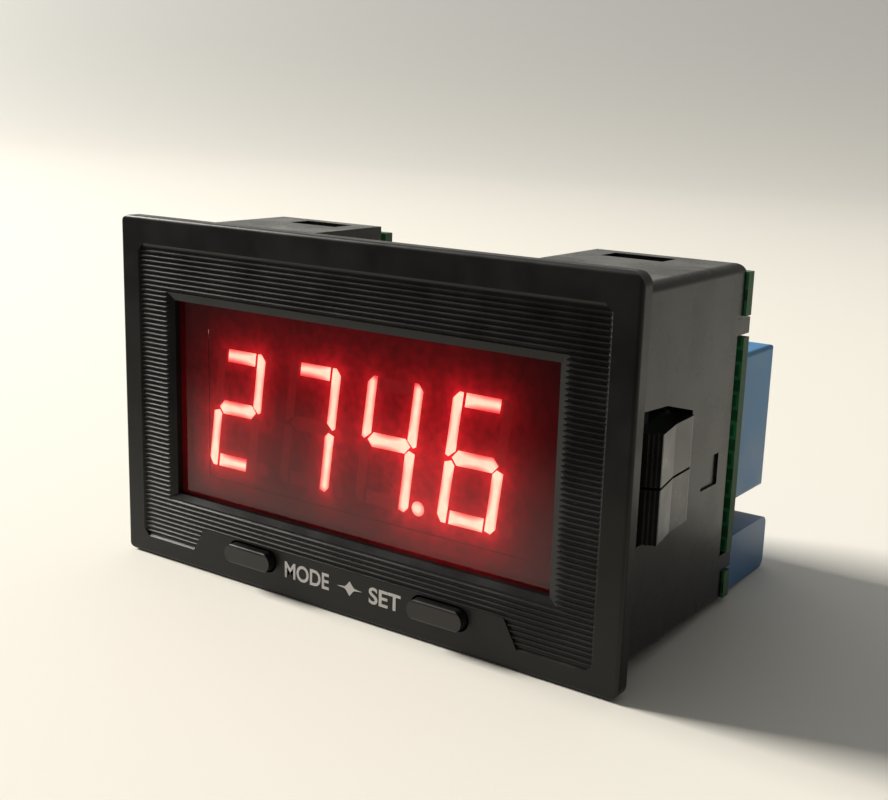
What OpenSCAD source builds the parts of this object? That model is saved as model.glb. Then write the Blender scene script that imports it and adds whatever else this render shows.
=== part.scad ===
// Snap-in digital panel meter: ribbed bezel, display, housing, spring clips, boards, transformer and terminals

/* [Bezel] */
// Width of the front bezel
bezel_w = 79; // [78.6:0.2:82]
// Height of the front bezel
bezel_h = 47.6; // [47.2:0.2:50]
// Thickness of the bezel lip
lip_t = 2; // [1.9:0.1:2.6]
// Rounding of the bezel outline corners
bezel_r = 1.6; // [1:0.2:3]
// Rounding of the front edge
edge_r = 0.5; // [0.3:0.1:0.8]
// Depth of the ribbed recess
recess_d = 0.35; // [0.25:0.05:0.45]
// Spacing of the ribs in the recess
rib_pitch = 0.66; // [0.6:0.02:1.4]
// Height of each rib
rib_h = 0.22; // [0.1:0.02:0.24]

/* [Window and digits] */
// Width of the window opening
window_w = 59.8; // [57.5:0.2:60.4]
// Height of the window opening
window_h = 26.9; // [25:0.1:27.1]
// Thickness of the tinted window
window_t = 1.2; // [0.8:0.1:1.2]
// Spacing of the digits
digit_pitch = 12.7; // [12.4:0.1:12.9]
// Height of a digit
digit_h = 16.4; // [13:0.1:17]
// Lean of the digits, sideways shift per unit of height
slant = 0.125; // [0:0.005:0.16]

/* [Keys] */
// Distance of each key from the middle
key_x = 15.25; // [13:0.25:17]
// Length of a key cap
key_w = 8; // [6:0.2:9]
// Height of a key cap
key_h = 2.6; // [2.2:0.1:2.7]
// Travel of a key
key_travel = 0.35; // [0.2:0.05:0.4]

/* [Housing] */
// Width of the housing
case_w = 75.5; // [74.9:0.1:75.9]
// Height of the housing
case_h = 44; // [43.8:0.1:44.6]
// Depth of the housing walls behind the lip
case_d = 27.6; // [27:0.1:31]
// Thickness of the housing walls
wall = 1.6; // [1.4:0.05:1.7]
// Width of the notch in the roof
notch_w = 35.6; // [30:0.2:37]

/* [Spring clips] */
// How far a clip stands out of the wall
clip_peak = 1.9; // [1.2:0.1:2]
// Number of steps on the gripping face of a clip
clip_steps = 4; // [3:1:6]
// Inward swing of a clip in degrees, for the record
clip_swing = 8.5; // [4:0.5:9]

/* [Rear] */
// Thickness of both circuit boards
board_t = 1.6; // [1.5:0.05:1.6]
// Width of the transformer
trafo_w = 30; // [26:0.5:32]
// Height of the transformer
trafo_h = 19.9; // [17:0.1:20.5]
// Depth of the transformer
trafo_d = 16.5; // [14:0.5:22]
// Spacing of the terminals
pole_pitch = 5.08; // [5:0.02:5.1]
// Depth of the terminal block
term_d = 13.5; // [13.3:0.1:16]

/* [Hidden] */
$fn = 48;
E = 0.01;
poles = 4;
hx = case_w / 2;
hz = case_h / 2;
in_x = hx - wall;
in_z = hz - wall;
seat_y = -0.4;
front_y = -lip_t;
floor_y = front_y + recess_d;
rec_x = bezel_w / 2 - 3.3;
rec_top = bezel_h / 2 - 3.6;
rec_bot = 2.6 - bezel_h / 2;
rec_slope = 0.5;
win_z = -0.45;
cham_w = window_w + 2.7;
cham_top = win_z + window_h / 2 + 1.4;
cham_bot = win_z - window_h / 2 - 0.9;
cham_d = 0.55;
key_z = 2.45 - hz;
key_gap = 0.3;
plateau_z = key_z + key_h / 2 + key_gap + 0.25;
rib_n = floor((rec_top - rec_bot - 0.9) / rib_pitch);
plate_w = window_w + 2.4;
plate_h = window_h + 2.3;
win_y = seat_y + window_t;
face_y = 1;
seg_deep = 0.8;
board_y = 8;
board_back = board_y + board_t;
key_z0 = 0.3 - in_z;
key_z1 = key_z0 + 1.8;
sw_z = key_z0 + 1.35;
sw_y = board_y - 3.5;
plunger_y = sw_y - 0.7;
digit_z = -0.94;
digit_x0 = -1.2;
post_y = case_d + 1.3;
main_back = post_y + board_t;
main_x = hx + 0.35;
main_top = hz - 1.1;
main_bot = 0.7 - hz;
notch_y = board_back + 1.4;
cheek_z = hz - 9;
slot_y0 = 3.4;
slot_y1 = 16.2;
slot_top = 7.9;
slot_bot = -7.6;
bead_x = 2.6;
bead_y = 18;
bead_r = 0.8;
bead_gap = 0.05;
clip_split = -0.75;
clip_top = 5.5;
clip_bot = -7.3;
clip_y0 = 4;
hook_z = [hz - 7.9, 5.6 - hz];
term_w = poles * pole_pitch + 0.4;
term_x1 = hx - 0.45;
term_x0 = term_x1 - term_w;
term_z0 = main_bot;
term_z1 = term_z0 + 7.3;
term_z = (term_z0 + term_z1) / 2;
ty = main_back;
cage_y = ty + 1.7;
cage_rise = 1.8;
screw_r = 1.25;
fix_y = ty + 4.9;
head_y = ty + 10.8;
tr_x0 = hx - 32.5;
tr_z0 = term_z1 + 3.2;
head_x = -10;
head_zz = 4.9 - in_z;
pin_n = 8;
pin_pitch = 2.54;

// ---- helpers: the front faces -Y, +X is right and +Z is up ----
module box(x0, x1, y0, y1, z0, z1) {
    translate([x0, y0, z0]) cube([x1 - x0, y1 - y0, z1 - z0]);
}

// pushes a drawing of the front (x, z) from y0 back to y1
module through(y0, y1) {
    translate([0, y1, 0]) rotate([90, 0, 0]) linear_extrude(y1 - y0) children();
}

// pushes a drawing of the side (y, z) from x0 to x1
module across(x0, x1) {
    translate([x0, 0, 0]) rotate([90, 0, 90]) linear_extrude(x1 - x0) children();
}

// pushes a drawing of the plan (x, y) from z0 up to z1
module upward(z0, z1) {
    translate([0, 0, z0]) linear_extrude(z1 - z0) children();
}

module rounded(w, h, r) {
    square([w - 2 * r, h], center = true);
    square([w, h - 2 * r], center = true);
    for (sx = [-1, 1], sy = [-1, 1])
        translate([sx * (w / 2 - r), sy * (h / 2 - r)]) circle(r);
}

module stadium(w, h) {
    square([w - h, h], center = true);
    for (s = [-1, 1]) translate([s * (w - h) / 2, 0]) circle(h / 2);
}

module rod(x, z, r, y0, y1) {
    translate([x, y1, z]) rotate([90, 0, 0]) cylinder(r = r, h = y1 - y0);
}

// a block whose twelve edges are all rounded
module soft_block(w, d, h, r) {
    intersection() {
        through(-d / 2, d / 2) rounded(w, h, r);
        across(-w / 2, w / 2) rounded(d, h, r);
        upward(-h / 2, h / 2) rounded(w, d, r);
    }
}

// ---- bezel ----
module bezel_blank() {
    intersection() {
        through(front_y, 0) rounded(bezel_w, bezel_h, bezel_r);
        across(-bezel_w / 2, bezel_w / 2) translate([front_y + 4, 0]) rounded(8, bezel_h, edge_r);
        upward(-bezel_h / 2, bezel_h / 2) translate([0, front_y + 4]) rounded(bezel_w, 8, edge_r);
    }
}

// side view of the ribbed floor: a shallow comb running from bottom to top
function comb(i) =
    let (z = rec_bot + rec_slope + i * rib_pitch)
    [[floor_y, z], [floor_y - rib_h, z + 0.3 * rib_pitch],
     [floor_y - rib_h, z + 0.5 * rib_pitch], [floor_y, z + 0.8 * rib_pitch]];

module ribbed_recess() {
    intersection() {
        across(-rec_x, rec_x) polygon(concat(
            [[front_y - 1, rec_top + rec_slope], [front_y - 1, rec_bot - rec_slope],
             [front_y, rec_bot], [floor_y, rec_bot + rec_slope * 0.6]],
            [for (i = [0 : rib_n - 1], p = comb(i)) p],
            [[floor_y, rec_top - rec_slope], [front_y, rec_top]]));
        upward(-bezel_h / 2, bezel_h / 2) polygon([
            [-rec_x - rec_slope, front_y - 1], [-rec_x, front_y], [-rec_x + rec_slope, floor_y + E],
            [rec_x - rec_slope, floor_y + E], [rec_x, front_y], [rec_x + rec_slope, front_y - 1]]);
        through(front_y - 1, 0) polygon([
            [-rec_x, rec_bot + 1], [-rec_x + 1, rec_bot], [rec_x - 1, rec_bot], [rec_x, rec_bot + 1],
            [rec_x, rec_top - 1], [rec_x - 1, rec_top], [-rec_x + 1, rec_top], [-rec_x, rec_top - 1]]);
    }
}

module key_plateau() {
    through(front_y - 2, 0) polygon([
        [-27.4, rec_bot - 1], [-26.2, rec_bot + 0.1], [-25.1, plateau_z - 1.4], [-24.3, plateau_z],
        [24.3, plateau_z], [25.1, plateau_z - 1.4], [26.2, rec_bot + 0.1], [27.4, rec_bot - 1]]);
}

module window_cut() {
    cy = floor_y - rib_h;
    intersection() {
        across(-cham_w / 2 - 2, cham_w / 2 + 2) polygon([
            [front_y - 1, cham_bot], [cy, cham_bot], [cy + cham_d, win_z - window_h / 2],
            [seat_y + 1, win_z - window_h / 2], [seat_y + 1, win_z + window_h / 2],
            [cy + cham_d, win_z + window_h / 2], [cy, cham_top], [front_y - 1, cham_top]]);
        upward(cham_bot - 1, cham_top + 1) polygon([
            [-cham_w / 2, front_y - 1], [-cham_w / 2, cy], [-window_w / 2, cy + cham_d],
            [-window_w / 2, seat_y + 1], [window_w / 2, seat_y + 1],
            [window_w / 2, cy + cham_d], [cham_w / 2, cy], [cham_w / 2, front_y - 1]]);
    }
}

module window_frame() {
    difference() {
        box(-plate_w / 2 - 1.7, plate_w / 2 + 1.7, seat_y - E, win_y,
            win_z - plate_h / 2 - 1.35, win_z + plate_h / 2 + 1.45);
        box(-plate_w / 2 - 0.1, plate_w / 2 + 0.1, seat_y - 1, win_y + 1,
            win_z - plate_h / 2 - 0.1, win_z + plate_h / 2 + 0.1);
    }
}

module locating_tabs() {
    for (s = [-1, 1]) {
        box(s * 18 - 5, s * 18 + 5, seat_y - E, 2.6, in_z - 1.3, in_z - 0.1);
        upward(-6, 6) translate([s * (in_x - 0.7), 1.1]) square([1.2, 3 + 2 * E], center = true);
    }
    box(-7, 7, seat_y - E, 2.6, 0.1 - in_z, 1.3 - in_z);
}

module front_bezel() {
    color("#1c1c1d") {
        difference() {
            bezel_blank();
            difference() {
                ribbed_recess();
                key_plateau();
            }
            window_cut();
            through(seat_y, 1) rounded(case_w + 0.2, case_h + 0.2, 1.2);
            for (s = [-1, 1])
                through(front_y - 1, 1) translate([s * key_x, key_z])
                    stadium(key_w + 2 * key_gap, key_h + 2 * key_gap);
        }
        window_frame();
        locating_tabs();
    }
}

module display_window() {
    color("#5a0d10")
        box(-plate_w / 2, plate_w / 2, seat_y, win_y, win_z - plate_h / 2, win_z + plate_h / 2);
}

// ---- digits: each segment is drawn upright about the digit's middle, then leaned ----
seg_a = [[-2.4, 8.2], [2.45, 8.2], [2.45, 6.45], [-2.4, 6.45]];
seg_b = [[2.8, 8.2], [3.4, 8.2], [4.2, 7.3], [4.2, 0.35], [3.75, 0.12], [2.8, 0.95]];
seg_c = [[2.7, -0.85], [3.2, -0.3], [4.15, -0.6], [4.2, -7.5], [3.6, -8.2], [2.75, -7.95]];
seg_d = [[-2.4, -6.45], [2.45, -6.45], [2.45, -8.2], [-2.4, -8.2]];
seg_e = [[-2.7, -0.85], [-3.2, -0.3], [-4.15, -0.6], [-4.2, -7.2], [-3.5, -8.2], [-2.8, -8.2]];
seg_f = [[-2.8, 8.2], [-3.4, 8.2], [-4.2, 7.3], [-4.2, 0.35], [-3.75, 0.12], [-2.8, 0.95]];
seg_g = [[-3.2, 0.1], [-2.4, 1.1], [2.5, 1.1], [3.35, 0.2], [2.6, -0.75], [-2.4, -0.8]];
segments = [seg_a, seg_b, seg_c, seg_d, seg_e, seg_f, seg_g];
// one row a digit: which of the segments a to g are lit, then the point
shown = [[1, 1, 0, 1, 1, 0, 1, 0], [1, 1, 1, 0, 0, 0, 0, 0],
         [0, 1, 1, 0, 0, 1, 1, 1], [1, 0, 1, 1, 1, 1, 1, 0]];

module glyph(k) {
    s = digit_h / 16.4;
    if (k < 7) polygon([for (p = segments[k]) [s * (p[0] + slant * p[1]), s * p[1]]]);
    else translate([s * (5.67 - slant * 7.3), -7.3 * s]) circle(0.95 * s, $fn = 12);
}

module digit_row(lit, y0, y1) {
    for (i = [0 : 3], k = [0 : 7])
        if (shown[i][k] == lit)
            through(y0, y1) translate([digit_x0 + (i - 1.5) * digit_pitch, digit_z]) glyph(k);
}

module display_module() {
    color("#20201f") difference() {
        box(digit_x0 + 1.1 - 2 * digit_pitch + 0.1, digit_x0 + 1.1 + 2 * digit_pitch - 0.1,
            face_y, board_y, digit_z - digit_h / 2 - 1.9, digit_z + digit_h / 2 + 2.1);
        digit_row(1, face_y - 1, face_y + seg_deep);
        digit_row(0, face_y - 1, face_y + seg_deep);
    }
}

module lit_segments() {
    color("#ffe9cf") digit_row(1, face_y, face_y + seg_deep);
}

module unlit_segments() {
    color("#6d5b58") digit_row(0, face_y, face_y + seg_deep);
}

// ---- keys: cap, retaining flange and stem in one piece ----
module key(s) {
    color("#1c1c1d") translate([s * key_x, 0, 0]) {
        intersection() {
            through(front_y - 1.2, seat_y - 0.35 - key_travel) translate([0, key_z]) stadium(key_w, key_h);
            across(-key_w, key_w) translate([front_y + 2.8, key_z]) rounded(8, key_h, 0.35);
        }
        box(-key_w / 2 + 0.6, key_w / 2 - 0.6, seat_y - 0.4 - key_travel, 0, key_z0, key_z1);
        box(-key_w / 2 - 1.2, key_w / 2 + 1.2, -0.1, 0.7, key_z0, key_z1 + 1.3);
        box(-1.5, 1.5, 0.6, plunger_y, key_z0 + 0.1, key_z1);
    }
}

module mode_button() key(-1);
module set_button() key(1);

module plunger(s) {
    color("#d8d4c8") rod(s * key_x, key_z0 + 1.1, 0.8, plunger_y, sw_y + 0.9);
}

module mode_plunger() plunger(-1);
module set_plunger() plunger(1);

module tact_switch(s) {
    color("#3a3a3c") difference() {
        box(s * key_x - 3, s * key_x + 3, sw_y, board_y, sw_z - 1.4, sw_z + 1.45);
        rod(s * key_x, key_z0 + 1.1, 0.9, sw_y - 1, sw_y + 1.5);
    }
}

module mode_switch() tact_switch(-1);
module set_switch() tact_switch(1);

// ---- boards inside ----
module header_holes(y0, y1) {
    for (i = [0 : pin_n - 1]) {
        x = head_x + (i - (pin_n - 1) / 2) * pin_pitch;
        box(x - 0.5, x + 0.5, y0, y1, head_zz - 0.5, head_zz + 0.5);
    }
}

module display_board() {
    color("#1f6a3a") difference() {
        box(4.15 - in_x, in_x - 4.15, board_y, board_back, 0.3 - in_z, in_z - 0.3);
        header_holes(board_y - 1, board_back + 1);
    }
}

module microcontroller() {
    color("#262628") difference() {
        box(3, 20.9, board_back + 0.15, board_back + 2.4, -8.75, -1.25);
        rod(4.6, -2.6, 0.6, board_back + 2.25, board_back + 3);
    }
}

module microcontroller_leads() {
    color("#b8bcc0") for (i = [0 : 13], s = [-1, 1])
        across(3.5 + i * 1.27, 3.9 + i * 1.27) polygon([
            [board_back, -5 + s * 5.2], [board_back, -5 + s * 4.4], [board_back + 1.1, -5 + s * 4.2],
            [board_back + 1.1, -5 + s * 3.75], [board_back + 1.35, -5 + s * 3.75],
            [board_back + 1.35, -5 + s * 4.4], [board_back + 0.25, -5 + s * 4.65],
            [board_back + 0.25, -5 + s * 5.2]]);
}

module header_strip() {
    color("#19191a") difference() {
        box(head_x - pin_n * 1.27, head_x + pin_n * 1.27, board_back, board_back + 2.5,
            head_zz - 1.27, head_zz + 1.27);
        for (i = [0 : pin_n - 1]) {
            x = head_x + (i - (pin_n - 1) / 2) * pin_pitch;
            box(x - 0.32, x + 0.32, board_back - 1, board_back + 4, head_zz - 0.32, head_zz + 0.32);
        }
    }
}

module header_pins() {
    color("#c9a94f") for (i = [0 : pin_n - 1]) {
        x = head_x + (i - (pin_n - 1) / 2) * pin_pitch;
        box(x - 0.32, x + 0.32, board_y - 0.8, main_back + 1, head_zz - 0.32, head_zz + 0.32);
    }
}

// ---- housing ----
module side_slot() {
    across(-hx - 1, hx + 1) polygon([
        [slot_y0, slot_bot], [slot_y0, slot_top], [9.3, slot_top - 0.3],
        [slot_y1, clip_top + 0.35], [slot_y1, slot_bot]]);
}

// the clip seat: a C-shaped bearing on the inside of the side wall, closed at both ends
module clip_seat(s) {
    scale([s, 1, 1]) difference() {
        union() {
            translate([hx - bead_x, bead_y, clip_bot - 1.3])
                cylinder(r = 1.6, h = clip_top - clip_bot + 2.6);
            box(hx - bead_x, in_x + 0.2, bead_y - 1.1, bead_y + 1.6, clip_bot - 1.3, clip_top + 1.3);
        }
        translate([hx - bead_x, bead_y, clip_bot - 0.3])
            cylinder(r = bead_r + bead_gap, h = clip_top - clip_bot + 0.6);
        box(hx - bead_x - 0.9, hx - bead_x + 0.6, bead_y - 3, bead_y, clip_bot - 0.3, clip_top + 0.3);
    }
}

module rear_hook(s, z) {
    a = z > 0 ? 1 : 1.1;
    scale([s, 1, 1]) upward(z - a, z + a) polygon([
        [hx, case_d - 2], [hx, main_back + 0.7], [hx - 0.5, main_back + 1.1], [hx - 1.45, main_back + 0.8],
        [hx - 2.25, main_back + 0.35], [hx - 2.25, main_back + 0.05], [hx - 1.45, main_back + 0.05],
        [hx - 1.45, case_d - 2]]);
}

module roof_pocket() {
    w = notch_w / 2;
    difference() {
        box(-w - 1.4, w + 1.4, board_back, case_d, cheek_z, in_z + 0.2);
        box(-w, w, notch_y, case_d + 1, cheek_z - 1, in_z + 1);
    }
}

module housing_shell() {
    difference() {
        intersection() {
            through(seat_y, post_y) rounded(case_w, case_h, 1.2);
            across(-hx, hx) translate([post_y - 20, 0]) rounded(40, case_h, 1.5);
        }
        through(seat_y - 1, post_y + 1) square([2 * in_x, 2 * in_z], center = true);
        box(-notch_w / 2, notch_w / 2, notch_y, post_y + 1, in_z - 1, hz + 1);
        box(-hx - 1, hx + 1, case_d, post_y + 1, 6.7 - hz, hz - 6.7);
        box(4.75 - hx, hx - 4.75, case_d, post_y + 1, -hz - 1, hz + 1);
        side_slot();
        for (s = [-1, 1]) {
            scale([s, 1, 1])
                box(notch_w / 2 + 3.7, hx - 7.75, case_d - 6.1, case_d - 2.1, hz - 0.6, hz + 1);
            box(s * hx - 0.3, s * hx + 0.3, 20, 24.7, -5, -1);
        }
    }
}

module rear_housing() {
    color("#19191a") {
        housing_shell();
        roof_pocket();
        for (s = [-1, 1]) {
            clip_seat(s);
            for (z = hook_z) rear_hook(s, z);
            for (t = [-1, 1]) scale([s, 1, t]) {
                box(in_x - 3.2, in_x + 0.1, 20, post_y, in_z - 3.1, in_z + 0.1);
                box(in_x - 10.15, in_x - 6.15, board_back, board_back + 2, in_z - 1.9, in_z + 0.1);
            }
        }
    }
}

// ---- spring clips: stepped wedge, leaf and pivot bead in one piece ----
function clip_step(i) =
    let (a = i * clip_peak / clip_steps, b = (i + 1) * clip_peak / clip_steps)
    [[hx + a + 0.08, clip_y0 + i * 0.25], [hx + b, clip_y0 + i * 0.25 - 0.02]];

module clip(s, z0, z1) {
    color("#161617") scale([s, 1, 1]) difference() {
        union() {
            upward(z0, z1) polygon(concat(
                [[hx - 1.2, clip_y0]],
                [for (i = [0 : clip_steps - 1], p = clip_step(i)) p],
                [[hx + clip_peak, clip_y0 + clip_steps * 0.25], [hx + 0.9, 10], [hx + 0.6, 15],
                 [hx + 0.45, 15.6], [hx - bead_x + 0.35, 15.8], [hx - bead_x + 0.35, bead_y - 0.5],
                 [hx - bead_x - 0.35, bead_y - 0.5], [hx - bead_x - 0.35, 15.3]]));
            translate([hx - bead_x, bead_y, z0]) cylinder(r = bead_r, h = z1 - z0);
        }
    }
}

module clip_right_upper() clip(1, clip_split + 0.15, clip_top);
module clip_right_lower() clip(1, clip_bot, clip_split - 0.15);
module clip_left_upper() clip(-1, clip_split + 0.15, clip_top);
module clip_left_lower() clip(-1, clip_bot, clip_split - 0.15);

// ---- main board and what it carries ----
trafo_pins = [for (x = [4, 11.3, 18.7, 26], z = [3, 16.9]) [tr_x0 + x, tr_z0 + z]];
function pole(i) = term_x0 + 0.2 + (i - 0.5) * pole_pitch;

module main_board() {
    color("#2f7a44") difference() {
        box(-main_x, main_x, post_y, main_back, main_bot, main_top);
        box(-notch_w / 2 - 0.2, notch_w / 2 + 0.2, post_y - 1, main_back + 1, 16.5, main_top + 1);
        for (s = [-1, 1], z = hook_z)
            box(s * (hx - 0.4) - 1.2, s * (hx - 0.4) + 1.2, post_y - 1, main_back + 1, z - 1.35, z + 1.35);
        for (p = trafo_pins) rod(p[0], p[1], 0.55, post_y - 1, main_back + 1);
        for (i = [1 : poles])
            box(pole(i) - 0.65, pole(i) + 0.65, post_y - 1, main_back + 1, term_z + 2.15, term_z + 2.95);
        header_holes(post_y - 1, main_back + 1);
    }
}

module transformer() {
    color("#2c55c8")
        translate([tr_x0 + trafo_w / 2, main_back + trafo_d / 2, tr_z0 + trafo_h / 2])
            soft_block(trafo_w, trafo_d, trafo_h, 0.6);
}

module transformer_pins() {
    color("#c9ccd0") for (p = trafo_pins) rod(p[0], p[1], 0.4, post_y - 2, main_back);
}

module terminal_block() {
    color("#244aa8") difference() {
        intersection() {
            box(term_x0, term_x1, ty, ty + term_d, term_z0, term_z1);
            across(term_x0, term_x1) translate([ty + term_d - 20, term_z])
                rounded(40, term_z1 - term_z0, 1.2);
        }
        for (i = [1 : poles]) {
            box(pole(i) - 2.3, pole(i) + 2.3, ty + 1.4, ty + 9.6, term_z - 2.6, term_z + 2.6);
            rod(pole(i), term_z, screw_r + 0.2, ty + 9, ty + 11);
            rod(pole(i), term_z, 2.1, ty + 10.5, ty + term_d + 1);
            translate([pole(i), cage_y + 2.2, term_z0 - 1]) cylinder(r = 1.5, h = 3);
            box(pole(i) - 0.65, pole(i) + 0.65, ty - 1, ty + 6, term_z + 2, term_z + 2.95);
        }
        box(term_x1 - 2.1, term_x1 + 1, ty - 1, ty + 1.15, hook_z[1] - 1.5, hook_z[1] + 1.5);
    }
}

module terminal_pins() {
    color("#c9ccd0") for (i = [1 : poles]) {
        box(pole(i) - 1.2, pole(i) + 1.2, fix_y, fix_y + 0.8, term_z - 2.4, term_z + 2.4);
        box(pole(i) - 0.5, pole(i) + 0.5, post_y - 0.9, fix_y + 0.8, term_z + 2.25, term_z + 2.85);
    }
}

module terminal_screw(i) {
    color("#c9ccd0") difference() {
        union() {
            rod(pole(i), term_z, screw_r, fix_y + 1.1, head_y + 0.1);
            rod(pole(i), term_z, 1.9, head_y, head_y + 2);
        }
        translate([pole(i), head_y + 2, term_z]) rotate([0, 20 * i - 35, 0])
            box(-3, 3, -0.9, 1, -0.4, 0.4);
    }
}

module terminal_screw_1() terminal_screw(1);
module terminal_screw_2() terminal_screw(2);
module terminal_screw_3() terminal_screw(3);
module terminal_screw_4() terminal_screw(4);

module terminal_clamp(i) {
    color("#c0b070") difference() {
        box(pole(i) - 2, pole(i) + 2, cage_y, cage_y + 5.8, term_z - 1.9, term_z + 1.9);
        box(pole(i) - 1.5, pole(i) + 1.5, cage_y + 1, cage_y + 4.6, term_z - 3, term_z + 3);
        rod(pole(i), term_z, screw_r + 0.05, cage_y + 4, cage_y + 7);
    }
}

module terminal_clamp_1() terminal_clamp(1);
module terminal_clamp_2() terminal_clamp(2);
module terminal_clamp_3() terminal_clamp(3);
module terminal_clamp_4() terminal_clamp(4);

module can(x, z, r, h) {
    color("#20242c") difference() {
        rod(x, z, r, post_y - h, post_y);
        translate([x, post_y - 1.6, z]) rotate([90, 0, 0]) rotate_extrude()
            translate([r + 0.15, 0]) circle(0.4, $fn = 24);
    }
}

module filter_capacitor() can(-22, 3, 4, 12);
module output_capacitor() can(-12.5, -3, 3.15, 11);

module bridge_rectifier() {
    color("#262628") box(-6, 2.5, post_y - 3.2, post_y, 2, 8.5);
}

module voltage_regulator() {
    color("#262628") {
        box(18, 28.2, post_y - 4.6, post_y, -6.2, 3);
        difference() {
            box(18, 28.2, post_y - 4.6, post_y - 3.3, 2.9, 9.4);
            rod(23.1, 6.3, 1.9, post_y - 6, post_y - 2);
        }
    }
}

module varistor() {
    color("#2a5fb0") rod(11.5, -14.5, 3.6, post_y - 4, post_y);
}

module range_resistor() {
    color("#c8b488") translate([-9, post_y - 1.2, -9]) rotate([0, 90, 0]) {
        cylinder(r = 1, h = 6.5);
        for (z = [0, 5]) translate([0, 0, z]) cylinder(r = 1.2, h = 1.5);
    }
}

front_bezel();
display_window();
display_module();
lit_segments();
unlit_segments();
mode_button();
set_button();
mode_plunger();
set_plunger();
mode_switch();
set_switch();
display_board();
microcontroller();
microcontroller_leads();
header_strip();
header_pins();
rear_housing();
clip_right_upper();
clip_right_lower();
clip_left_upper();
clip_left_lower();
main_board();
transformer();
transformer_pins();
terminal_block();
terminal_pins();
terminal_screw_1();
terminal_screw_2();
terminal_screw_3();
terminal_screw_4();
terminal_clamp_1();
terminal_clamp_2();
terminal_clamp_3();
terminal_clamp_4();
filter_capacitor();
output_capacitor();
bridge_rectifier();
voltage_regulator();
varistor();
range_resistor();
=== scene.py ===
# %% [markdown]
# # A snap-in digital panel meter
#
# This lesson dresses a imported CAD model of a panel meter: a ribbed black bezel with a smoked red window,
# a housing with spring clips, and a rear board with a potted transformer and screw terminals.
# The shapes come from the CAD and are never moved here. What is added is what a CAD model lacks: the finish
# of every surface, the light of the display, the printed words, the solder and the screw threads.
#
# We first load the CAD as a fixed frame and keep its size.

# %% Load the frame
import bpy
import bmesh
import math
from mathutils import Matrix, Vector


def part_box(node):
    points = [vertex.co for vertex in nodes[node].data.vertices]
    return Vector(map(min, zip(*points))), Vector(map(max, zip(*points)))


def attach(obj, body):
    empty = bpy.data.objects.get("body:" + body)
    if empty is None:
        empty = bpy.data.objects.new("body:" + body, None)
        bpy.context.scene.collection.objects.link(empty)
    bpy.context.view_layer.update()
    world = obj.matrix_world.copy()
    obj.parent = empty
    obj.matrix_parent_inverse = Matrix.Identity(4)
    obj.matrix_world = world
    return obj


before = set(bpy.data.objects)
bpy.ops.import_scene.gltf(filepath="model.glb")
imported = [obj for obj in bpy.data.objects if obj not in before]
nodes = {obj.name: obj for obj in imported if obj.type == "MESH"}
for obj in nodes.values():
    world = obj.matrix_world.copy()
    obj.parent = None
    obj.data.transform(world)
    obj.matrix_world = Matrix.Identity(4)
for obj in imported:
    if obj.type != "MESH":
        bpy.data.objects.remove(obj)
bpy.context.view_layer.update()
MM = 0.001

# %% [markdown]
# ## Camera
#
# The viewer stands close and to the right, a little above. The camera is built from that: a direction given
# by two angles, a distance, and a small shift of the aim sideways and up. Rolling it by under two degrees
# gives the slight lean of a hand-held view. A near camera makes the front look larger than
# the back, so the distance matters as much as the angles.

# %% Camera
AZIMUTH = math.radians(35.16)
ELEVATION = math.radians(13.18)
ROLL = math.radians(1.73)
DISTANCE = 158.85 * MM
AIM_RIGHT, AIM_UP = 12.44 * MM, 4.08 * MM
LENS = 52.51

bezel_low = Vector(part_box("front_bezel")[0])
front_centre = Vector((0, bezel_low.y, 0))
outward = Vector((math.sin(AZIMUTH) * math.cos(ELEVATION),
                  -math.cos(AZIMUTH) * math.cos(ELEVATION),
                  math.sin(ELEVATION)))
level_right = (-outward).cross(Vector((0, 0, 1))).normalized()
level_up = level_right.cross(-outward)
cam_right = math.cos(ROLL) * level_right + math.sin(ROLL) * level_up
cam_up = math.cos(ROLL) * level_up - math.sin(ROLL) * level_right
cam_place = front_centre + outward * DISTANCE + cam_right * AIM_RIGHT + cam_up * AIM_UP

camera_data = bpy.data.cameras.new("camera")
camera_data.lens = LENS
camera_data.sensor_width = 36
camera_data.clip_start = 0.005
camera = bpy.data.objects.new("camera", camera_data)
bpy.context.scene.collection.objects.link(camera)
turn = Matrix((cam_right, cam_up, outward)).transposed()
camera.matrix_world = Matrix.Translation(cam_place) @ turn.to_4x4()
bpy.context.scene.camera = camera
print("camera at", [round(v, 4) for v in cam_place])

# %% [markdown]
# ## Floor, backdrop and light
#
# The meter rests on two edges: the bottom of its bezel and the bottom of the terminal block behind, which is
# higher. Its own frame stays square, so the floor is tilted to touch both edges. One sheet makes floor and
# backdrop: it runs back, curves up and so shows no horizon. The room in front of a lit table is dark, and
# that dark is what the upper half of the glossy bezel mirrors. So the sheet turns dark there, but only for
# glossy rays: an eye in any other place still sees a pale table.
#
# A softbox low on the left throws the long soft shadow. A wide dim one overhead draws the bright line along
# the rounded top edge of the bezel.

# %% Floor and backdrop
term_low, term_high = (Vector(c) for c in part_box("terminal_block"))
touch_front = Vector((0, 0, bezel_low.z))
TERMINAL_EDGE_IN = 1.2 * MM
touch_back = Vector((0, term_high.y - TERMINAL_EDGE_IN, term_low.z))
floor_slope = (touch_back.z - touch_front.z) / (touch_back.y - touch_front.y)
print("floor tilt in degrees:", round(math.degrees(math.atan(floor_slope)), 2))


def principled(name, color, roughness=0.5, metallic=0.0, specular=0.5):
    """Starts a material and returns it with its node tree and its shader node."""
    material = bpy.data.materials.new(name)
    material.use_nodes = True
    tree = material.node_tree
    shader = tree.nodes["Principled BSDF"]
    shader.inputs["Base Color"].default_value = (*color, 1)
    shader.inputs["Roughness"].default_value = roughness
    shader.inputs["Metallic"].default_value = metallic
    shader.inputs["Specular IOR Level"].default_value = specular
    return material, tree, shader


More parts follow.
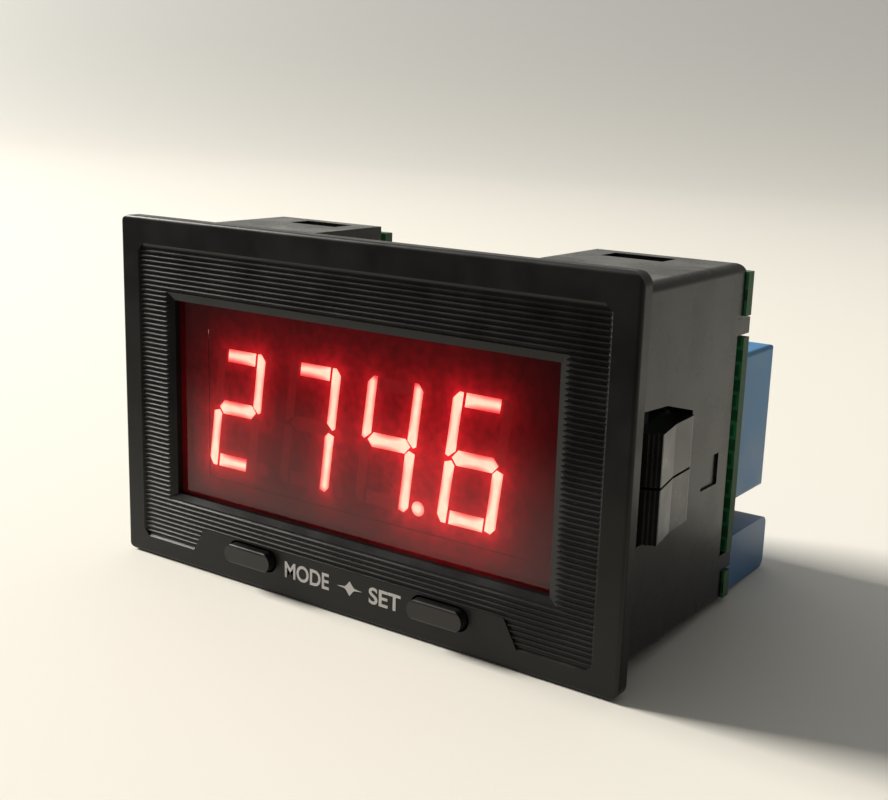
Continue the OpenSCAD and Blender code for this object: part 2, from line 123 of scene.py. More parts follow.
def sweep_profile(front, bend_start, radius, height, steps=24):
    """Side view of the sheet: flat, then a quarter turn up, then a wall."""
    points = [(front, 0.0), (bend_start, 0.0)]
    for i in range(1, steps + 1):
        a = math.pi / 2 * i / steps
        points.append((bend_start + radius * math.sin(a), radius * (1 - math.cos(a))))
    points.append((bend_start + radius, height))
    return points


def backdrop_sheet():
    mesh = bpy.data.meshes.new("floor_sheet")
    build = bmesh.new()
    rows = []
    for y, z in sweep_profile(SHEET_FRONT, SHEET_BEND, SHEET_RADIUS, SHEET_HEIGHT):
        z += touch_front.z + floor_slope * min(y, SHEET_BEND)
        rows.append([build.verts.new((x, y, z)) for x in (-SHEET_HALF, SHEET_HALF)])
    for low, high in zip(rows, rows[1:]):
        build.faces.new((low[0], low[1], high[1], high[0]))
    bmesh.ops.recalc_face_normals(build, faces=build.faces)
    build.to_mesh(mesh)
    build.free()
    for face in mesh.polygons:
        face.use_smooth = True
    sheet = bpy.data.objects.new("floor_sheet", mesh)
    bpy.context.scene.collection.objects.link(sheet)
    return sheet


SHEET_FRONT, SHEET_BEND, SHEET_RADIUS, SHEET_HEIGHT, SHEET_HALF = -2.0, 0.42, 0.5, 1.2, 4.0
floor_sheet = backdrop_sheet()
paper, paper_tree, paper_shader = principled("backdrop_paper", (0.80, 0.765, 0.70), 0.85, specular=0.2)


def paper_blend(factor, color_a, color_b):
    """Mixes two colours, where either may be a socket."""
    node = paper_tree.nodes.new("ShaderNodeMix")
    node.data_type = "RGBA"
    paper_tree.links.new(factor, node.inputs["Factor"])
    for name, color in (("A", color_a), ("B", color_b)):
        if hasattr(color, "is_linked"):
            paper_tree.links.new(color, node.inputs[name])
        else:
            node.inputs[name].default_value = (*color, 1)
    return node.outputs["Result"]


def paper_fade(value, start, end):
    node = paper_tree.nodes.new("ShaderNodeMapRange")
    node.interpolation_type = "SMOOTHSTEP"
    node.inputs["From Min"].default_value = start
    node.inputs["From Max"].default_value = end
    paper_tree.links.new(value, node.inputs["Value"])
    return node.outputs["Result"]


place = paper_tree.nodes.new("ShaderNodeTexCoord")
split = paper_tree.nodes.new("ShaderNodeSeparateXYZ")
paper_tree.links.new(place.outputs["Object"], split.inputs[0])
# painted shade: the sheet's colour darkens from 5 cm to 78 cm behind the panel seat, standing in for the
# light falling off with distance
painted_falloff_mask = paper_fade(split.outputs["Y"], 0.05, 0.78)
tone = paper_blend(painted_falloff_mask, (0.82, 0.79, 0.72), (0.30, 0.30, 0.29))
mirrored = paper_tree.nodes.new("ShaderNodeLightPath")
painted_dark_reflection_mask = paper_tree.nodes.new("ShaderNodeMath")
painted_dark_reflection_mask.operation = "MULTIPLY"
# painted dark reflection: from 5 mm to 120 mm in front of the panel seat the table seen by glossy rays fades
# to dark
paper_tree.links.new(paper_fade(split.outputs["Y"], -0.005, -0.12), painted_dark_reflection_mask.inputs[0])
paper_tree.links.new(mirrored.outputs["Is Glossy Ray"], painted_dark_reflection_mask.inputs[1])
paper_tree.links.new(paper_blend(painted_dark_reflection_mask.outputs[0], tone, (0.03, 0.03, 0.03)),
                     paper_shader.inputs["Base Color"])
floor_sheet.data.materials.append(paper)

# %% [markdown]
# The lamps are plain squares of light. The world is dim to every ray but the camera's own, so it fills the
# shadows a little while the view past the sheet stays pale.

# %% Lamps and world
def softbox(name, direction, distance, size, power, color=(1, 1, 1)):
    """A square area lamp that looks at the meter from the given direction."""
    data = bpy.data.lights.new(name, "AREA")
    data.shape = "RECTANGLE"
    data.size, data.size_y = size
    data.energy = power
    data.color = color
    lamp = bpy.data.objects.new(name, data)
    bpy.context.scene.collection.objects.link(lamp)
    away = Vector(direction).normalized()
    lamp.location = METER_MIDDLE + away * distance
    lamp.rotation_euler = away.to_track_quat("Z", "Y").to_euler()
    return lamp


METER_MIDDLE = Vector((0, 0.015, 0))
softbox("key_left", (-0.9, -0.1, 0.5), 3.2, (0.9, 0.9), 190, (1.0, 0.97, 0.91))
softbox("overhead", (-0.25, 0.25, 1.0), 0.8, (0.7, 0.5), 0.8, (0.97, 0.98, 1.0))

world = bpy.data.worlds.new("room")
world.use_nodes = True
bpy.context.scene.world = world
room = world.node_tree
back_node = room.nodes["Background"]
ray = room.nodes.new("ShaderNodeLightPath")
seen = room.nodes.new("ShaderNodeMix")
seen.data_type = "RGBA"
seen.inputs["A"].default_value = (0.15, 0.15, 0.148, 1)
seen.inputs["B"].default_value = (0.80, 0.78, 0.74, 1)
room.links.new(ray.outputs["Is Camera Ray"], seen.inputs["Factor"])
room.links.new(seen.outputs["Result"], back_node.inputs["Color"])
back_node.inputs["Strength"].default_value = 1.0
bpy.context.scene.view_settings.view_transform = "Standard"

# %% [markdown]
# ## Moulded plastics
#
# A tool's steel is spark-eroded to give ABS a fine grain, so a moulded face is never a perfect mirror: tiny
# pits break the reflection up. Two noises make it here. One is fine and drives the bump, the other is broad
# and makes the roughness drift a little, as handled plastic does. Both read Object coordinates, which on
# these pieces are metres in the meter's own frame, so a scale of 9000 means grains about a tenth of a
# millimetre across.

# %% A moulded plastic
def link_noise(tree, coords, scale, detail=2.0):
    noise = tree.nodes.new("ShaderNodeTexNoise")
    noise.inputs["Scale"].default_value = scale
    noise.inputs["Detail"].default_value = detail
    tree.links.new(coords, noise.inputs["Vector"])
    return noise.outputs["Fac"]


def map_range(tree, value, low, high, from_low=0.35, from_high=0.65):
    node = tree.nodes.new("ShaderNodeMapRange")
    node.inputs["From Min"].default_value = from_low
    node.inputs["From Max"].default_value = from_high
    node.inputs["To Min"].default_value = low
    node.inputs["To Max"].default_value = high
    tree.links.new(value, node.inputs["Value"])
    return node.outputs["Result"]


def mix_color(tree, factor, color_a, color_b):
    node = tree.nodes.new("ShaderNodeMix")
    node.data_type = "RGBA"
    node.inputs["A"].default_value = (*color_a, 1)
    node.inputs["B"].default_value = (*color_b, 1)
    tree.links.new(factor, node.inputs["Factor"])
    return node.outputs["Result"]


def add_bump(tree, shader, height, distance, strength=1.0):
    bump = tree.nodes.new("ShaderNodeBump")
    bump.inputs["Distance"].default_value = distance
    bump.inputs["Strength"].default_value = strength
    tree.links.new(height, bump.inputs["Height"])
    tree.links.new(bump.outputs["Normal"], shader.inputs["Normal"])
    return bump


def moulded(name, color, roughness, grain_scale=9000, grain_depth=0.006 * MM, drift=0.06, specular=0.5,
            worn=None):
    """Moulded plastic: fine grain, drifting gloss and a faint change of tone."""
    material, tree, shader = principled(name, color, roughness, specular=specular)
    coords = tree.nodes.new("ShaderNodeTexCoord").outputs["Object"]
    grain = link_noise(tree, coords, grain_scale, 3)
    broad = link_noise(tree, coords, 160, 4)
    tree.links.new(map_range(tree, broad, roughness - drift, roughness + drift), shader.inputs["Roughness"])
    light = tuple(min(1, c * 1.25 + 0.002) for c in color)
    tree.links.new(mix_color(tree, map_range(tree, broad, 0, 1), color, worn or light),
                   shader.inputs["Base Color"])
    add_bump(tree, shader, grain, grain_depth)
    return material


bezel_plastic = moulded("bezel_plastic", (0.005, 0.0045, 0.004), 0.36, grain_depth=0.010 * MM, specular=0.3)
key_plastic = moulded("key_plastic", (0.007, 0.0063, 0.0058), 0.32, 7000, 0.008 * MM)
housing_plastic = moulded("housing_plastic", (0.005, 0.005, 0.0046), 0.26, 6000, 0.003 * MM, specular=0.3)
clip_plastic = moulded("clip_plastic", (0.008, 0.008, 0.0075), 0.30, 5000, 0.003 * MM, specular=0.4)
switch_plastic = moulded("switch_plastic", (0.02, 0.02, 0.021), 0.45)
plunger_plastic = moulded("plunger_plastic", (0.62, 0.6, 0.54), 0.4)
transformer_plastic = moulded("transformer_plastic", (0.03, 0.17, 0.36), 0.42, 4000, 0.004 * MM)
terminal_plastic = moulded("terminal_plastic", (0.03, 0.12, 0.27), 0.38, 5000, 0.003 * MM)
chip_epoxy = moulded("chip_epoxy", (0.012, 0.012, 0.013), 0.5, 8000, 0.006 * MM)
varistor_epoxy = moulded("varistor_epoxy", (0.03, 0.12, 0.3), 0.3, 1500, 0.02 * MM)
resistor_lacquer = moulded("resistor_lacquer", (0.55, 0.42, 0.22), 0.3, 2500, 0.004 * MM)
print("moulded plastics:", len([m for m in bpy.data.materials if "plastic" in m.name]))

# %% [markdown]
# ## Metals
#
# Tinned legs, zinc-plated screws and plated clamps are all soft bright metals. What tells them apart is the
# hue and how rough the plating is. A stretched noise gives the faint brushed look of drawn and rolled metal.

# %% A plated metal
def plated(name, color, roughness, brush=(1500, 9000, 9000)):
    material, tree, shader = principled(name, color, roughness, metallic=1.0)
    coords = tree.nodes.new("ShaderNodeTexCoord").outputs["Object"]
    stretch = tree.nodes.new("ShaderNodeMapping")
    stretch.inputs["Scale"].default_value = brush
    tree.links.new(coords, stretch.inputs["Vector"])
    noise = link_noise(tree, stretch.outputs["Vector"], 1.0, 3)
    tree.links.new(map_range(tree, noise, roughness * 0.7, roughness * 1.4), shader.inputs["Roughness"])
    dark = tuple(c * 0.8 for c in color)
    tree.links.new(mix_color(tree, map_range(tree, noise, 0, 1), dark, color), shader.inputs["Base Color"])
    add_bump(tree, shader, noise, 0.003 * MM)
    return material


tinned_metal = plated("tinned_metal", (0.72, 0.72, 0.71), 0.3)
screw_metal = plated("screw_metal", (0.66, 0.66, 0.64), 0.28)
clamp_metal = plated("clamp_metal", (0.72, 0.6, 0.34), 0.35)
pin_metal = plated("pin_metal", (0.83, 0.62, 0.25), 0.28)
solder_metal = plated("solder_metal", (0.68, 0.68, 0.67), 0.22, (3000, 3000, 3000))

# %% [markdown]
# ## Circuit boards
#
# A board is a pale glass-epoxy core with copper under green resist on both faces. Its sawn edge shows the
# core, and the faces show the copper as slightly raised lighter green. The Geometry node's normal tells face
# from edge: where it points along Y we are on a face. The tracks are a brick pattern with thin wide bricks,
# because routed tracks run mostly in long parallel lines.

# %% Board material
def board_material(name):
    material, tree, shader = principled(name, (0.012, 0.09, 0.035), 0.3)
    coords = tree.nodes.new("ShaderNodeTexCoord").outputs["Object"]
    swing = tree.nodes.new("ShaderNodeMapping")
    swing.inputs["Rotation"].default_value = (math.radians(90), 0, 0)
    tree.links.new(coords, swing.inputs["Vector"])
    tracks = tree.nodes.new("ShaderNodeTexBrick")
    tracks.inputs["Scale"].default_value = 1.0
    tracks.inputs["Brick Width"].default_value = 9.5 * MM
    tracks.inputs["Row Height"].default_value = 1.9 * MM
    tracks.inputs["Mortar Size"].default_value = 0.28 * MM
    tracks.inputs["Mortar Smooth"].default_value = 0.3
    tree.links.new(swing.outputs["Vector"], tracks.inputs["Vector"])
    faces = mix_color(tree, tracks.outputs["Fac"], (0.010, 0.075, 0.028), (0.022, 0.15, 0.055))
    weave = link_noise(tree, coords, 2600, 3)
    edge = mix_color(tree, weave, (0.03, 0.075, 0.032), (0.10, 0.17, 0.09))
    facing = tree.nodes.new("ShaderNodeNewGeometry")
    split = tree.nodes.new("ShaderNodeSeparateXYZ")
    size = tree.nodes.new("ShaderNodeMath")
    size.operation = "ABSOLUTE"
    tree.links.new(facing.outputs["Normal"], split.inputs[0])
    tree.links.new(split.outputs["Y"], size.inputs[0])
    choose = tree.nodes.new("ShaderNodeMix")
    choose.data_type = "RGBA"
    tree.links.new(size.outputs[0], choose.inputs["Factor"])
    tree.links.new(edge, choose.inputs["A"])
    tree.links.new(faces, choose.inputs["B"])
    tree.links.new(choose.outputs["Result"], shader.inputs["Base Color"])
    rough = map_range(tree, size.outputs[0], 0.75, 0.24, 0, 1)
    tree.links.new(rough, shader.inputs["Roughness"])
    add_bump(tree, shader, tracks.outputs["Fac"], 0.03 * MM)
    return material


circuit_board = board_material("circuit_board")

# %% [markdown]
# ## The light of the display
#
# Each segment is a cell filled with a milky resin and lit from behind. To the eye the lit cells are nearly
# white, and the light that leaks sideways into the black face and scatters in the red window makes a deep
# red glow that dies away within a few millimetres.
#
# The glow could be an image filter, but then it would be gone in any other view. Here it is part of the
# display's own face: a shader that knows where the lit segments are. For each of them it takes the distance
# to the segment's centre line and turns it into light with an exponential fall-off. A node group does this
# once and is used for each lit segment, so the tree stays readable.

# %% Where the segments are
DIGIT_PITCH = 12.7 * MM
SLANT = 0.125
module_low, module_high = (Vector(c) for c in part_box("display_module"))
lit_low, lit_high = (Vector(c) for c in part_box("lit_segments"))
DIGIT_TALL = lit_high.z - lit_low.z
digit_z = (lit_low.z + lit_high.z) / 2
POINT_ROOM = 1.1 * MM  # the digits sit this far left of the block's middle, to leave room for the points
row_x = (module_low.x + module_high.x) / 2 - POINT_ROOM
ARM, UPPER, LOWER = 3.5 * MM, DIGIT_TALL * 0.45, -DIGIT_TALL * 0.45
BAR, GAP, WAIST = 2.2 * MM, 0.9 * MM, 0.15 * MM
SEGMENT_LINES = {
    "a": ((-BAR, UPPER), (BAR, UPPER)),
    "b": ((ARM, UPPER), (ARM, GAP)),
    "c": ((ARM, -GAP), (ARM, LOWER)),
    "d": ((-BAR, LOWER), (BAR, LOWER)),
    "e": ((-ARM, -GAP), (-ARM, LOWER)),
    "f": ((-ARM, UPPER), (-ARM, GAP)),
    "g": ((-BAR, WAIST), (BAR, WAIST)),
    "p": ((5.67 * MM, -7.3 * MM),) * 2,
}
SHOWN = ("abged", "abc", "fgbcp", "afgedc")


def leaned(index, point):
    """Puts a point of an upright digit at its place in the row, leaning to the right."""
    x, z = point
    return Vector((row_x + (index - 1.5) * DIGIT_PITCH + x + SLANT * z, 0, digit_z + z))


lit_lines = [tuple(leaned(i, p) for p in SEGMENT_LINES[name])
             for i, word in enumerate(SHOWN) for name in word]
print("lit segments:", len(lit_lines), "digit height in mm:", round(DIGIT_TALL / MM, 2))

# %% [markdown]
# The distance from a point to a line piece is found as on paper: take the offset from the line's start, see
# how far along the line its foot falls, keep that between the two ends, and measure from there.

# %% The node group that measures the glow of one segment
def math_node(tree, operation, a, b=None, clamp=False):
    node = tree.nodes.new("ShaderNodeMath")
    node.operation = operation
    node.use_clamp = clamp
    for socket, value in zip(node.inputs, (a, b)):
        if value is None:
            continue
        if hasattr(value, "is_linked"):
            tree.links.new(value, socket)
        else:
            socket.default_value = value
    return node.outputs[0]


def vector_node(tree, operation, a, b=None, scale=None):
    node = tree.nodes.new("ShaderNodeVectorMath")
    node.operation = operation
    for socket, value in zip(node.inputs, (a, b)):
        if value is None:
            continue
        if hasattr(value, "is_linked"):
            tree.links.new(value, socket)
        else:
            socket.default_value = value
    if scale is not None:
        tree.links.new(scale, node.inputs["Scale"])
    return node.outputs["Value" if operation in ("DOT_PRODUCT", "LENGTH", "DISTANCE") else "Vector"]


def glow_group():
    group = bpy.data.node_groups.new("segment_glow", "ShaderNodeTree")
    side = group.interface
    side.new_socket("Point", in_out="INPUT", socket_type="NodeSocketVector")
    side.new_socket("Start", in_out="INPUT", socket_type="NodeSocketVector")
    side.new_socket("Along", in_out="INPUT", socket_type="NodeSocketVector")
    side.new_socket("Reach", in_out="INPUT", socket_type="NodeSocketFloat")
    side.new_socket("Glow", in_out="OUTPUT", socket_type="NodeSocketFloat")
    start = group.nodes.new("NodeGroupInput").outputs
    end = group.nodes.new("NodeGroupOutput").inputs
    offset = vector_node(group, "SUBTRACT", start["Point"], start["Start"])
    length_squared = math_node(group, "MAXIMUM",
                               vector_node(group, "DOT_PRODUCT", start["Along"], start["Along"]), 1e-12)
    share = math_node(group, "DIVIDE", vector_node(group, "DOT_PRODUCT", offset, start["Along"]),
                      length_squared, clamp=True)
    foot = vector_node(group, "SCALE", start["Along"], scale=share)
    away = vector_node(group, "DISTANCE", offset, foot)
    falling = math_node(group, "DIVIDE", away, start["Reach"])
    group.links.new(math_node(group, "EXPONENT", math_node(group, "MULTIPLY", falling, -1.0)), end["Glow"])
    return group


segment_glow = glow_group()


def total_glow(tree, point, reach):
    """Adds up the light that all lit segments send to a point of the display's face."""
    total = 0.0
    for start, end in lit_lines:
        node = tree.nodes.new("ShaderNodeGroup")
        node.node_tree = segment_glow
        tree.links.new(point, node.inputs["Point"])
        node.inputs["Start"].default_value = start
        node.inputs["Along"].default_value = end - start
        node.inputs["Reach"].default_value = reach
        total = math_node(tree, "ADD", node.outputs["Glow"], total)
    return total


def flat_point(tree):
    """The shading point with its depth taken away, so that only x and z count."""
    coords = tree.nodes.new("ShaderNodeTexCoord").outputs["Object"]
    return coords, vector_node(tree, "MULTIPLY", coords, (1, 0, 1))


# %% [markdown]
# Three finishes use the glow: the black face takes it as it is, the lit cells turn it into their colour from
# crimson to nearly white, and the dark cells catch a little of their neighbours' light.

# %% Display face, lit and dark segments
NEAR_LIGHT, FAR_LIGHT = 1.3, 0.15
CELL_RIM, CELL_CORE = (3.6, 0.42, 0.45), (6.2, 4.9, 3.6)


def display_face_material():
    material, tree, shader = principled("display_face", (0.004, 0.003, 0.003), 0.6)
    coords, point = flat_point(tree)
    near = total_glow(tree, point, 1.15 * MM)
    far = total_glow(tree, point, 4.5 * MM)
    mottle = map_range(tree, link_noise(tree, coords, 900, 3), 0.8, 1.2)
    light = math_node(tree, "ADD", math_node(tree, "MULTIPLY", near, NEAR_LIGHT),
                      math_node(tree, "MULTIPLY", far, FAR_LIGHT))
    shader.inputs["Emission Color"].default_value = (1.0, 0.035, 0.06, 1)
    tree.links.new(math_node(tree, "MULTIPLY", light, mottle), shader.inputs["Emission Strength"])
    add_bump(tree, shader, link_noise(tree, coords, 7000), 0.01 * MM)
    return material


def lit_segment_material():
    """Milky resin: nearly white along the middle of a cell, where the chip is, and crimson at its rim."""
    material, tree, shader = principled("lit_resin", (0.7, 0.4, 0.3), 0.4)
    coords, point = flat_point(tree)
    near = total_glow(tree, point, 1.0 * MM)
    core = map_range(tree, near, 0, 1, 0.45, 0.85)
    cloud = map_range(tree, link_noise(tree, coords, 700, 3), 0.92, 1.08)
    tree.links.new(mix_color(tree, core, CELL_RIM, CELL_CORE), shader.inputs["Emission Color"])
    tree.links.new(cloud, shader.inputs["Emission Strength"])
    return material


def dark_segment_material():
    """The same resin unlit: it only catches the glow of its neighbours."""
    material, tree, shader = principled("dark_resin", (0.05, 0.02, 0.02), 0.4)
    coords, point = flat_point(tree)
    shader.inputs["Emission Color"].default_value = (1.0, 0.06, 0.08, 1)
    cloud = map_range(tree, link_noise(tree, coords, 700, 3), 0.9, 1.1)
    neighbours = total_glow(tree, point, 3.0 * MM)
    caught = math_node(tree, "ADD", math_node(tree, "MULTIPLY", neighbours, 0.42), 0.06)
    tree.links.new(math_node(tree, "MULTIPLY", caught, cloud), shader.inputs["Emission Strength"])
    return material


display_face = display_face_material()
lit_resin = lit_segment_material()
dark_resin = dark_segment_material()

# %% [markdown]
# ## Smoked window
#
# The window is a plate of dark red acrylic. What is behind it is seen through both faces. The shader tints
# a ray by the root of its colour at each face, so the colour below is what the whole plate lets through.
# Almost no lamp light gets in, which keeps the unlit cells nearly black. The polished front mirrors the
# table. Behind the plate a dark printed ring fills the space round the display, so nobody sees inside.

# %% Window material
PLATE_PASSES = (0.45, 0.17, 0.17)


def smoked_window():
    material, tree, shader = principled("smoked_window", PLATE_PASSES, 0.04)
    shader.inputs["Transmission Weight"].default_value = 1.0
    shader.inputs["IOR"].default_value = 1.45
    coords = tree.nodes.new("ShaderNodeTexCoord").outputs["Object"]
    cloud = link_noise(tree, coords, 120, 3)
    denser = tuple(c * 0.94 for c in PLATE_PASSES)
    tree.links.new(mix_color(tree, cloud, denser, PLATE_PASSES), shader.inputs["Base Color"])
    return material


window_acrylic = smoked_window()

# %% [markdown]
# ## Dressing the CAD pieces
#
# Every CAD piece keeps its mesh and only gets a finish. The table below goes from finish to pieces, so that
# a look can be changed in one place.

# %% Finish for each CAD piece
sleeve_plastic = moulded("sleeve_plastic", (0.010, 0.012, 0.02), 0.25, 900, 0.01 * MM)
FINISH = {
    bezel_plastic: ["front_bezel"],
    key_plastic: ["mode_button", "set_button"],
    housing_plastic: ["rear_housing"],
    clip_plastic: [n for n in nodes if n.startswith("clip_")],
    window_acrylic: ["display_window"],
    display_face: ["display_module"],
    lit_resin: ["lit_segments"],
    dark_resin: ["unlit_segments"],
    plunger_plastic: ["mode_plunger", "set_plunger"],
    switch_plastic: ["mode_switch", "set_switch", "header_strip"],
    circuit_board: ["display_board", "main_board"],
    chip_epoxy: ["microcontroller", "bridge_rectifier", "voltage_regulator"],
    tinned_metal: ["microcontroller_leads", "transformer_pins", "terminal_pins"],
    pin_metal: ["header_pins"],
    transformer_plastic: ["transformer"],
    terminal_plastic: ["terminal_block"],
    screw_metal: [n for n in nodes if n.startswith("terminal_screw")],
    clamp_metal: [n for n in nodes if n.startswith("terminal_clamp")],
    sleeve_plastic: ["filter_capacitor", "output_capacitor"],
    varistor_epoxy: ["varistor"],
    resistor_lacquer: ["range_resistor"],
}
dressed = set()
for finish, names in FINISH.items():
    for name in names:
        for slot in nodes[name].material_slots:
            slot.material = finish
        dressed.add(name)
print("dressed:", len(dressed), "of", len(nodes), "left:", sorted(set(nodes) - dressed))

# %% [markdown]
# ## Printed words
#
# The two keys are marked by pad printing: a film of pale ink a few hundredths of a millimetre thick. A text
# object gives the letter shapes. It is squeezed to the narrow proportions of such printing, made a mesh,
# and its place is applied to the mesh. Between the words sits a small four-pointed mark.

# %% Ink and words
pad_ink, ink_tree, ink_shader = principled("pad_ink", (0.56, 0.55, 0.53), 0.55)
ink_coords = ink_tree.nodes.new("ShaderNodeTexCoord").outputs["Object"]
ink_spots = link_noise(ink_tree, ink_coords, 6000, 3)
ink_tree.links.new(mix_color(ink_tree, ink_spots, (0.42, 0.41, 0.39), (0.66, 0.65, 0.63)),
                   ink_shader.inputs["Base Color"])
INK = 0.03 * MM
CAP_TALL = 2.2 * MM
WORD_FOOT = -21.03 * MM


def as_piece(name, mesh, material, body):
    piece = bpy.data.objects.new(name, mesh)
    bpy.context.scene.collection.objects.link(piece)
    mesh.materials.clear()
    mesh.materials.append(material)
    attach(piece, body)
    return piece


def printed_word(text, x_left, width):
    curve = bpy.data.curves.new("ink_" + text.lower(), "FONT")
    curve.body = text
    curve.size = 1.0
    curve.offset = 0.02
    curve.extrude = 0.01
    letters = bpy.data.objects.new("ink_text", curve)
    bpy.context.scene.collection.objects.link(letters)
    bpy.context.view_layer.update()
    evaluated = letters.evaluated_get(bpy.context.evaluated_depsgraph_get())
    mesh = bpy.data.meshes.new_from_object(evaluated)
    bpy.data.objects.remove(letters)
    xs = [v.co.x for v in mesh.vertices]
    ys = [v.co.y for v in mesh.vertices]
    zs = [v.co.z for v in mesh.vertices]
    for v in mesh.vertices:
        x = x_left + (v.co.x - min(xs)) / (max(xs) - min(xs)) * width
        z = WORD_FOOT + (v.co.y - min(ys)) / (max(ys) - min(ys)) * CAP_TALL
        y = bezel_low.y - INK * (v.co.z - min(zs)) / (max(zs) - min(zs))
        v.co = (x, y, z)
    return as_piece("ink_" + text.lower(), mesh, pad_ink, "meter")


printed_word("MODE", -9.45 * MM, 7.5 * MM)
printed_word("SET", 4.55 * MM, 4.95 * MM)


def four_point_mark(centre_x, centre_z, half_wide, half_tall):
    """A small star with long side points and a diamond in its middle."""
    waist = 0.34 * half_tall
    knee = 0.42 * half_wide
    outline = [(-half_wide, 0), (-knee, -waist * 0.35), (-waist * 1.6, -waist), (0, -half_tall),
               (waist * 1.6, -waist), (knee, -waist * 0.35), (half_wide, 0), (knee, waist * 0.35),
               (waist * 1.6, waist), (0, half_tall), (-waist * 1.6, waist), (-knee, waist * 0.35)]
    mesh = bpy.data.meshes.new("ink_mark")
    build = bmesh.new()
    ring = [build.verts.new((centre_x + x, bezel_low.y - INK, centre_z + z)) for x, z in outline]
    top = build.faces.new(ring)
    walls = bmesh.ops.extrude_face_region(build, geom=[top])
    for v in (g for g in walls["geom"] if isinstance(g, bmesh.types.BMVert)):
        v.co.y = bezel_low.y
    bmesh.ops.recalc_face_normals(build, faces=build.faces)
    build.to_mesh(mesh)
    build.free()
    return as_piece("ink_mark", mesh, pad_ink, "meter")


four_point_mark(1.45 * MM, -19.9 * MM, 2.0 * MM, 0.98 * MM)

# %% [markdown]
# ## The printed ring behind the window
#
# The display block is narrower than the window. A thin printed film with a hole for the block hides the
# inside of the housing. It is a ring of four bars between two rectangles, and it shares the finish of the
# display's face so that the glow runs on over it.

# %% Mask film
window_low, window_high = (Vector(c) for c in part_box("display_window"))


def ring_film(name, outer, inner, y_front, y_back, material, body):
    """A flat rectangular ring, from y_front to y_back. outer and inner are (x0, x1, z0, z1)."""
    mesh = bpy.data.meshes.new(name)
    build = bmesh.new()
    loops = []
    for y in (y_front, y_back):
        for x0, x1, z0, z1 in (outer, inner):
            loops.append([build.verts.new((x, y, z)) for x, z in ((x0, z0), (x1, z0), (x1, z1), (x0, z1))])
    front_out, front_in, back_out, back_in = loops
    for i in range(4):
        j = (i + 1) % 4
        for a, b in ((front_out, front_in), (front_in, back_in), (back_in, back_out), (back_out, front_out)):
            build.faces.new((a[i], a[j], b[j], b[i]))
    bmesh.ops.recalc_face_normals(build, faces=build.faces)
    build.to_mesh(mesh)
    build.free()
    return as_piece(name, mesh, material, body)


FILM_GAP = 0.05 * MM


def rectangle(low, high, grow):
    """The front outline of a box, made larger or smaller all round."""
    return low.x - grow, high.x + grow, low.z - grow, high.z + grow


ring_film("window_mask", rectangle(window_low, window_high, -FILM_GAP),
          rectangle(module_low, module_high, FILM_GAP),
          window_high.y + FILM_GAP, window_high.y + 3 * FILM_GAP, display_face, "meter")

# %% [markdown]
# ## Solder joints
#
# The rear board carries its parts on the inner face, so their legs are soldered at the back. Wave soldering
# leaves a small cone round each leg. A Geometry Nodes tree sets one cone on every point of a mesh that
# holds nothing but the leg places, which are read from the boxes of the parts they belong to. A seeded
# random scale makes no two joints quite alike. The result is turned into a plain mesh at the end.

# %% Solder cones
board_high = Vector(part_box("main_board")[1])


def legs(node, across, rows=1):
    """Leg places spread over a part's box in x, at its middle height or in two rows."""
    low, high = (Vector(c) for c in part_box(node))
    places = []
    for r in range(rows):
        z = low.z + (high.z - low.z) * ((r + 0.5) / rows)
        for i in range(across):
            x = low.x + (high.x - low.x) * (i + 0.5) / across
            places.append(Vector((x, board_high.y, z)))
    return places


leg_places = legs("header_pins", 8) + legs("filter_capacitor", 2) + legs("output_capacitor", 2)
leg_places += legs("bridge_rectifier", 4) + legs("voltage_regulator", 3) + legs("varistor", 2)
leg_places += legs("range_resistor", 2)
leg_mesh = bpy.data.meshes.new("solder_joints")
leg_mesh.from_pydata([tuple(p) for p in leg_places], [], [])
leg_object = bpy.data.objects.new("solder_joints", leg_mesh)
bpy.context.scene.collection.objects.link(leg_object)


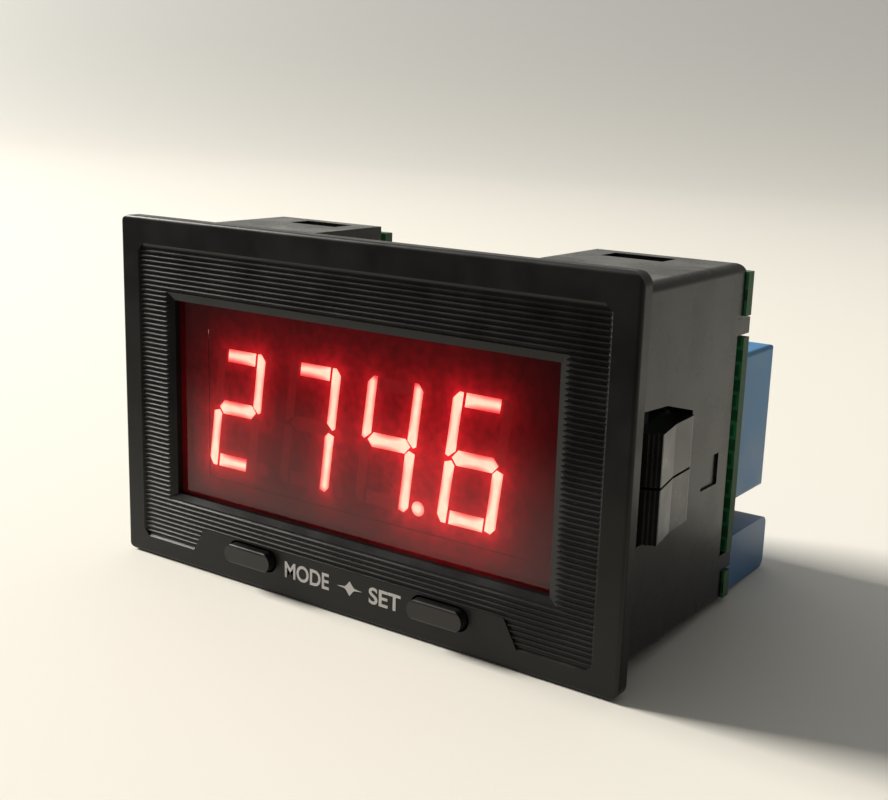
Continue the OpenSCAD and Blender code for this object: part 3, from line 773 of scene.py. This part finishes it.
def solder_tree():
    tree = bpy.data.node_groups.new("solder_on_points", "GeometryNodeTree")
    side = tree.interface
    side.new_socket("Geometry", in_out="INPUT", socket_type="NodeSocketGeometry")
    sizes = {"Foot": 0.85 * MM, "Tip": 0.3 * MM, "Height": 0.9 * MM, "Vary": 0.12}
    for name in sizes:
        side.new_socket(name, in_out="INPUT", socket_type="NodeSocketFloat")
    side.new_socket("Seed", in_out="INPUT", socket_type="NodeSocketInt")
    side.new_socket("Geometry", in_out="OUTPUT", socket_type="NodeSocketGeometry")
    given = tree.nodes.new("NodeGroupInput").outputs
    cone = tree.nodes.new("GeometryNodeMeshCone")
    cone.inputs["Vertices"].default_value = 20
    tree.links.new(given["Foot"], cone.inputs["Radius Bottom"])
    tree.links.new(given["Tip"], cone.inputs["Radius Top"])
    tree.links.new(given["Height"], cone.inputs["Depth"])
    random = tree.nodes.new("FunctionNodeRandomValue")
    tree.links.new(math_node(tree, "SUBTRACT", 1.0, given["Vary"]), random.inputs["Min"])
    tree.links.new(math_node(tree, "ADD", 1.0, given["Vary"]), random.inputs["Max"])
    tree.links.new(given["Seed"], random.inputs["Seed"])
    set_on = tree.nodes.new("GeometryNodeInstanceOnPoints")
    set_on.inputs["Rotation"].default_value = (math.radians(-90), 0, 0)
    tree.links.new(given["Geometry"], set_on.inputs["Points"])
    tree.links.new(cone.outputs["Mesh"], set_on.inputs["Instance"])
    scale_out = next(o for o in random.outputs if o.type == "VALUE" and o.enabled)
    tree.links.new(scale_out, set_on.inputs["Scale"])
    real = tree.nodes.new("GeometryNodeRealizeInstances")
    finish = tree.nodes.new("GeometryNodeSetMaterial")
    finish.inputs["Material"].default_value = solder_metal
    tree.links.new(set_on.outputs["Instances"], real.inputs["Geometry"])
    tree.links.new(real.outputs["Geometry"], finish.inputs["Geometry"])
    tree.links.new(finish.outputs["Geometry"], tree.nodes.new("NodeGroupOutput").inputs["Geometry"])
    return tree, {**sizes, "Seed": 7}


solder_nodes, solder_sizes = solder_tree()
growing = leg_object.modifiers.new("solder", "NODES")
growing.node_group = solder_nodes
for item in solder_nodes.interface.items_tree:
    if item.in_out == "INPUT" and item.name in solder_sizes:
        growing[item.identifier] = solder_sizes[item.name]
bpy.context.view_layer.update()
evaluated = leg_object.evaluated_get(bpy.context.evaluated_depsgraph_get())
solder_mesh = bpy.data.meshes.new_from_object(evaluated)
bpy.data.objects.remove(leg_object)
as_piece("solder_joints", solder_mesh, solder_metal, "meter")
print("solder joints:", len(leg_places), "faces:", len(solder_mesh.polygons))
